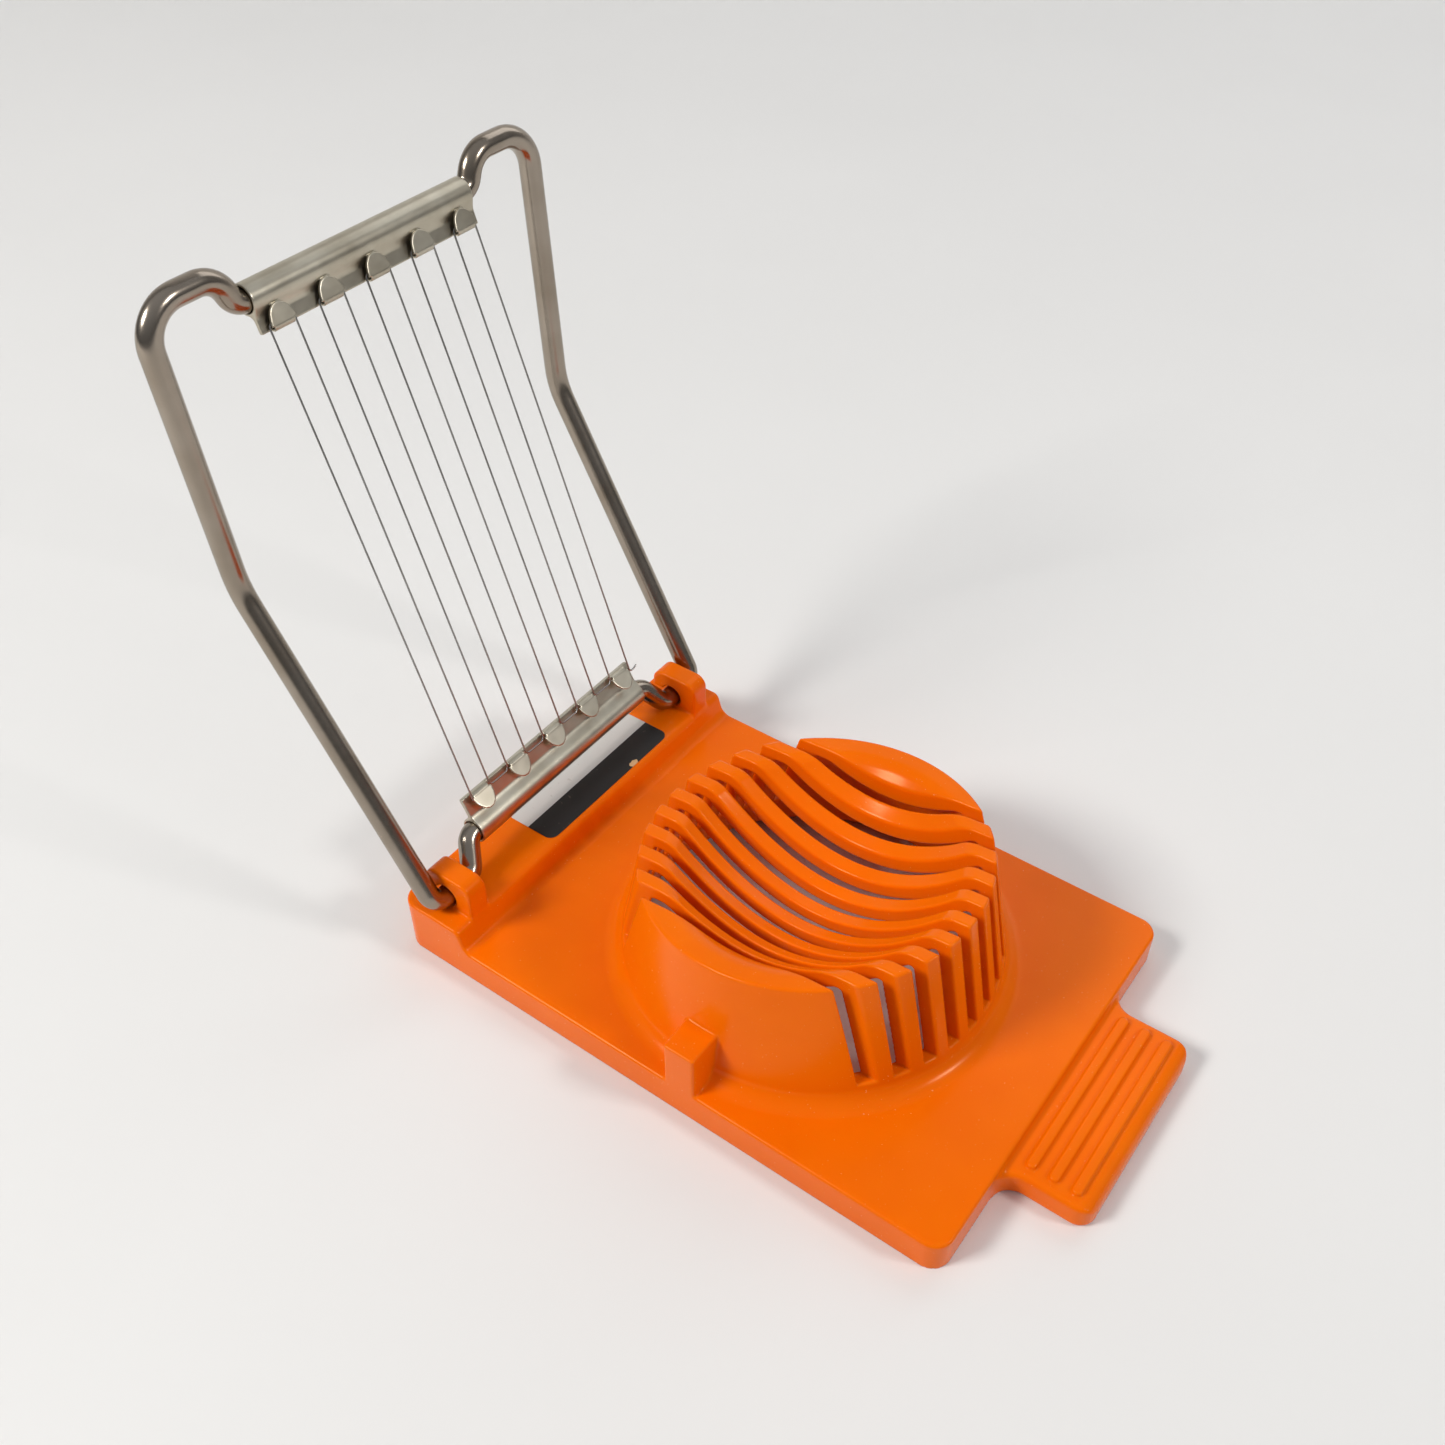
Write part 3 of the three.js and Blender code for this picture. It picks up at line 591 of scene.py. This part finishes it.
class Nodes:
    """A material's node tree, with short calls to add and join nodes."""

    def __init__(self, name):
        self.material = bpy.data.materials.new(name)
        self.material.use_nodes = True
        self.tree = self.material.node_tree
        self.shader = self.tree.nodes["Principled BSDF"]
        self.place = self.add("ShaderNodeTexCoord").outputs["Object"]

    def add(self, kind, inputs=None, **settings):
        node = self.tree.nodes.new(kind)
        for key, value in settings.items():
            setattr(node, key, value)
        for key, value in (inputs or {}).items():
            self.put(node.inputs[key], value)
        return node

    def put(self, socket, value):
        if isinstance(value, bpy.types.NodeSocket):
            self.tree.links.new(value, socket)
        else:
            socket.default_value = value

    def set(self, **values):
        for key, value in values.items():
            self.put(self.shader.inputs[key.replace("_", " ")], value)

    def noise(self, scale, detail=3.0, roughness=0.5):
        node = self.add("ShaderNodeTexNoise", {
            "Vector": self.place, "Scale": scale, "Detail": detail, "Roughness": roughness})
        return node.outputs["Fac"]

    def math(self, operation, a, b):
        node = self.add("ShaderNodeMath", {0: a, 1: b}, operation=operation)
        return node.outputs[0]

    def ramp(self, value, stops):
        """A grey ramp through (position, level) stops."""
        node = self.add("ShaderNodeValToRGB", {"Fac": value})
        elements = node.color_ramp.elements
        while len(elements) < len(stops):
            elements.new(0.5)
        for element, (position, level) in zip(elements, stops):
            element.position = position
            element.color = (level, level, level, 1.0)
        return node.outputs["Color"]

    def range(self, value, low, high):
        """Spreads a 0 to 1 value over low to high."""
        node = self.add("ShaderNodeMapRange", {"Value": value, "To Min": low, "To Max": high})
        return node.outputs["Result"]

    def mix(self, factor, a, b):
        node = self.add("ShaderNodeMix", {"Factor": factor, 6: a, 7: b}, data_type="RGBA")
        return node.outputs[2]

    def bump(self, height, strength, distance, normal=None):
        inputs = {"Height": height, "Strength": strength, "Distance": distance}
        if normal is not None:
            inputs["Normal"] = normal
        return self.add("ShaderNodeBump", inputs).outputs["Normal"]


def orange_plastic():
    n = Nodes("orange_plastic")
    cloud = n.ramp(n.noise(45, 3), [(0.35, 0.0), (0.65, 1.0)])
    colour = n.mix(cloud, srgb(236, 104, 0), srgb(242, 110, 1))
    specks = n.ramp(n.noise(2400, 2, 0.6), [(0.715, 0.0), (0.75, 1.0)])
    colour = n.mix(n.math("MULTIPLY", specks, 0.55), colour, srgb(250, 190, 140))
    haze = n.ramp(n.noise(110, 4), [(0.35, 0.0), (0.7, 1.0)])
    rough = n.math("ADD", n.range(haze, 0.17, 0.25), n.math("MULTIPLY", specks, 0.2))
    flow = n.bump(n.noise(60, 2), 0.1, 0.0005)
    normal = n.bump(n.noise(1500, 2), 0.04, 0.0001, flow)
    n.set(Base_Color=colour, Roughness=rough, Normal=normal,
          IOR=1.45, Specular_IOR_Level=0.26, Specular_Tint=(1.0, 0.62, 0.36, 1.0),
          Subsurface_Weight=0.15, Subsurface_Radius=(1.0, 0.3, 0.05), Subsurface_Scale=0.0025)
    return n.material


def steel(name, colour, dull, roughness, stain, scale):
    n = Nodes(name)
    blotch = n.ramp(n.noise(scale, 3), [(0.4, 0.0), (0.75, 1.0)])
    shade = n.mix(n.math("MULTIPLY", blotch, stain), colour, dull)
    wear = n.noise(scale * 5, 5, 0.6)
    rough = n.range(wear, roughness * 0.8, roughness * 1.25)
    n.set(Base_Color=shade, Metallic=1.0, Roughness=rough, Normal=n.bump(wear, 0.06, 0.0001))
    return n.material


def label_film():
    """A white band towards the hinge, a black band towards the cradle."""
    n = Nodes("label_film")
    parts = n.add("ShaderNodeSeparateXYZ", {"Vector": n.place})
    low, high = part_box("label")
    border = high[1] - WHITE_BAND_SHARE * (high[1] - low[1])
    band = n.math("GREATER_THAN", parts.outputs["Y"], border)
    colour = n.mix(band, srgb(24, 24, 25), srgb(212, 210, 206))
    worn = n.ramp(n.noise(900, 4), [(0.68, 0.0), (0.74, 1.0)])
    colour = n.mix(n.math("MULTIPLY", worn, 0.3), colour, srgb(150, 138, 122))
    chip = Vector((low[0] + CHIP_PLACE * (high[0] - low[0]), low[1], high[2]))
    away = n.add("ShaderNodeVectorMath", {0: n.place, 1: tuple(chip)}, operation="DISTANCE")
    ragged = n.math("ADD", away.outputs["Value"], n.range(n.noise(900, 3), -0.0009, 0.0009))
    colour = n.mix(n.math("LESS_THAN", ragged, CHIP_RADIUS * MM), colour, srgb(222, 178, 128))
    n.set(Base_Color=colour, Roughness=n.range(n.noise(500, 3), 0.3, 0.45),
          Normal=n.bump(n.noise(700, 3), 0.1, 0.0001))
    return n.material


def floor_material():
    n = Nodes("pale_floor")
    n.set(Base_Color=n.mix(n.noise(8, 2), srgb(226, 225, 223), srgb(231, 230, 228)), Roughness=0.6)
    return n.material


# ------------------------------------------------------------------ stage
SKY_LOW, SKY_HIGH = 0.12, 0.5


def make_stage():
    reach, depth, rise = 4.0, 0.55, 2.5
    bend = 0.3
    profile = [(-reach, 0.0)]
    for k in range(13):
        angle = math.pi / 2 * k / 12
        profile.append((depth + bend * math.sin(angle), bend * (1 - math.cos(angle))))
    profile.append((depth + bend, rise))
    turn = Matrix.Rotation(CAMERA_AZIMUTH, 4, "Z")
    mesh = bpy.data.meshes.new("floor")
    points = [turn @ Vector((x, y, z)) for y, z in profile for x in (-reach, reach)]
    faces = [(2 * i, 2 * i + 1, 2 * i + 3, 2 * i + 2) for i in range(len(profile) - 1)]
    mesh.from_pydata([tuple(p) for p in points], [], faces)
    for polygon in mesh.polygons:
        polygon.use_smooth = True
    mesh.materials.append(floor_material())
    floor = bpy.data.objects.new("floor", mesh)
    bpy.context.collection.objects.link(floor)


def add_light(name, place_at, aim, size, power, colour=(1, 1, 1)):
    data = bpy.data.lights.new(name, "AREA")
    data.shape = "RECTANGLE"
    data.size, data.size_y = size
    data.energy = power
    data.color = colour
    light = bpy.data.objects.new(name, data)
    light.location = place_at
    light.rotation_euler = (Vector(aim) - Vector(place_at)).to_track_quat("-Z", "Y").to_euler()
    bpy.context.collection.objects.link(light)


def make_sky():
    """A pale sky that darkens downwards."""
    world = bpy.data.worlds.new("studio")
    world.use_nodes = True
    tree = world.node_tree
    place_in_sky = tree.nodes.new("ShaderNodeTexCoord").outputs["Generated"]
    height = tree.nodes.new("ShaderNodeSeparateXYZ")
    tree.links.new(place_in_sky, height.inputs[0])
    level = tree.nodes.new("ShaderNodeMapRange")
    tree.links.new(height.outputs["Z"], level.inputs["Value"])
    level.inputs["To Min"].default_value = SKY_LOW
    level.inputs["To Max"].default_value = SKY_HIGH
    background = tree.nodes["Background"]
    background.inputs["Color"].default_value = (0.92, 0.95, 1.0, 1.0)
    tree.links.new(level.outputs["Result"], background.inputs["Strength"])
    bpy.context.scene.world = world


def make_lights():
    """A soft key behind on the left, a front light and a fill."""
    add_light("key", (-0.78, 0.5, 0.8), (0, 0, 0), (0.32, 0.32), 10, (1.0, 0.98, 0.95))
    add_light("front", (0.25, -0.9, 0.75), (0, 0, 0.03), (0.22, 0.14), 4.2, (1.0, 0.98, 0.96))
    add_light("fill", (0.9, 0.1, 0.7), (0, 0, 0.03), (0.8, 0.8), 2.5, (0.95, 0.97, 1.0))


# ------------------------------------------------------------------ assembly
def attach(piece, body, nodes):
    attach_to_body(piece, body)
    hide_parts(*nodes)


def make_base():
    step = 0.3
    half = PLATE_WIDTH / 2 + 1
    low = (-half - 0.13, -PLATE_FRONT - TAB_LENGTH - 1.07, -1.11)
    high = (half + 0.13, PLATE_REAR + 1, DRUM_RIM_HEIGHT + 5)
    points, quads = surface_net(base_field, low, high, step)
    points[:, 2] = np.maximum(points[:, 2], 0.0)
    attach(add_object("base_moulding", points, quads, orange_plastic()), "base", ["base"])


def make_frame_wire():
    material = steel("frame_steel", srgb(160, 149, 136), srgb(126, 112, 94), 0.2, 0.5, 110)
    points, quads = tube(rounded_path(frame_corners()), FRAME_WIRE, 28)
    attach(add_object("bent_frame", points, quads, material), "cutting_frame", ["frame_wire"])


def make_strips():
    material = steel("strip_steel", srgb(196, 189, 172), srgb(150, 138, 116), 0.32, 0.55, 130)
    step = 0.15
    reach = STRIP_ROLL + STRIP_SHEET + 0.4
    half = STRIP_LENGTH / 2 + 0.4
    strips = (
        ("lower", STRIP_LOWER, 1, LOWER_STRIP_TILT, LOWER_FLANGE_REACH, LOWER_TAB_SLOPE, SPRUNG_TAB_SLOPE),
        ("upper", STRIP_UPPER, -1, 0.0, UPPER_FLANGE_REACH, UPPER_TAB_SLOPE, UPPER_TAB_SLOPE),
    )
    for name, s, toward, tilt, flange_reach, slope, end_slope in strips:
        net = surface_net(lambda x, y, z: strip_field(x, y, z, flange_reach, slope, end_slope),
                          (-half, -reach, -reach), (half, flange_reach + 0.6, reach + 1.8), step)
        piece = strip_piece(f"rolled_strip_{name}", net, s, toward, tilt, material)
        attach(piece, "cutting_frame", [f"clamp_strip_{name}"])


def make_cutting_wire():
    material = steel("cutting_steel", srgb(160, 158, 155), srgb(110, 104, 96), 0.3, 0.4, 300)
    points, quads = tube(rounded_path(cutting_corners(), math.radians(12)), CUT_WIRE, 10)
    nodes = [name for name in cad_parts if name.startswith(("cutting_run", "wire_"))]
    attach(add_object("strung_wire", points, quads, material), "cutting_frame", nodes)


def make_label():
    low, high = (np.array(corner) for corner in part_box("label"))
    centre = (low + high) / 2 / MM - np.array(origin) / MM
    half = (high - low) / 2 / MM
    bottom, top = LEDGE_TOP + 0.01, LEDGE_TOP + 0.12
    outline = []
    for sx, sy, radius, start in ((1, 1, 0.4, 0), (-1, 1, 0.4, 90), (-1, -1, 1.8, 180), (1, -1, 1.8, 270)):
        for k in range(9):
            angle = math.radians(start + 90 * k / 8)
            outline.append((centre[0] + sx * (half[0] - radius) + radius * math.cos(angle),
                            centre[1] + sy * (half[1] - radius) + radius * math.sin(angle)))
    outline = np.array(outline)
    middle = outline.mean(axis=0)
    rings = []
    for shrink, z in ((1.0, bottom), (1.0, top - 0.04), (0.995, top), (0.5, top), (0.001, top)):
        ring = middle + (outline - middle) * shrink
        rings.append(np.column_stack([ring, np.full(len(ring), z)]))
    sides = len(outline)
    row = np.arange(len(rings) - 1)[:, None] * sides
    column = np.arange(sides)[None, :]
    ahead = (column + 1) % sides
    quads = np.stack([row + column, row + ahead, row + sides + ahead, row + sides + column], axis=-1)
    piece = add_object("sticker", np.concatenate(rings), quads.reshape(-1, 4), label_film(), smooth=False)
    attach(piece, "base", ["label"])


bpy.context.scene.view_settings.view_transform = "Standard"
make_camera()
make_stage()
make_sky()
make_lights()
make_base()
make_frame_wire()
make_strips()
make_cutting_wire()
make_label()
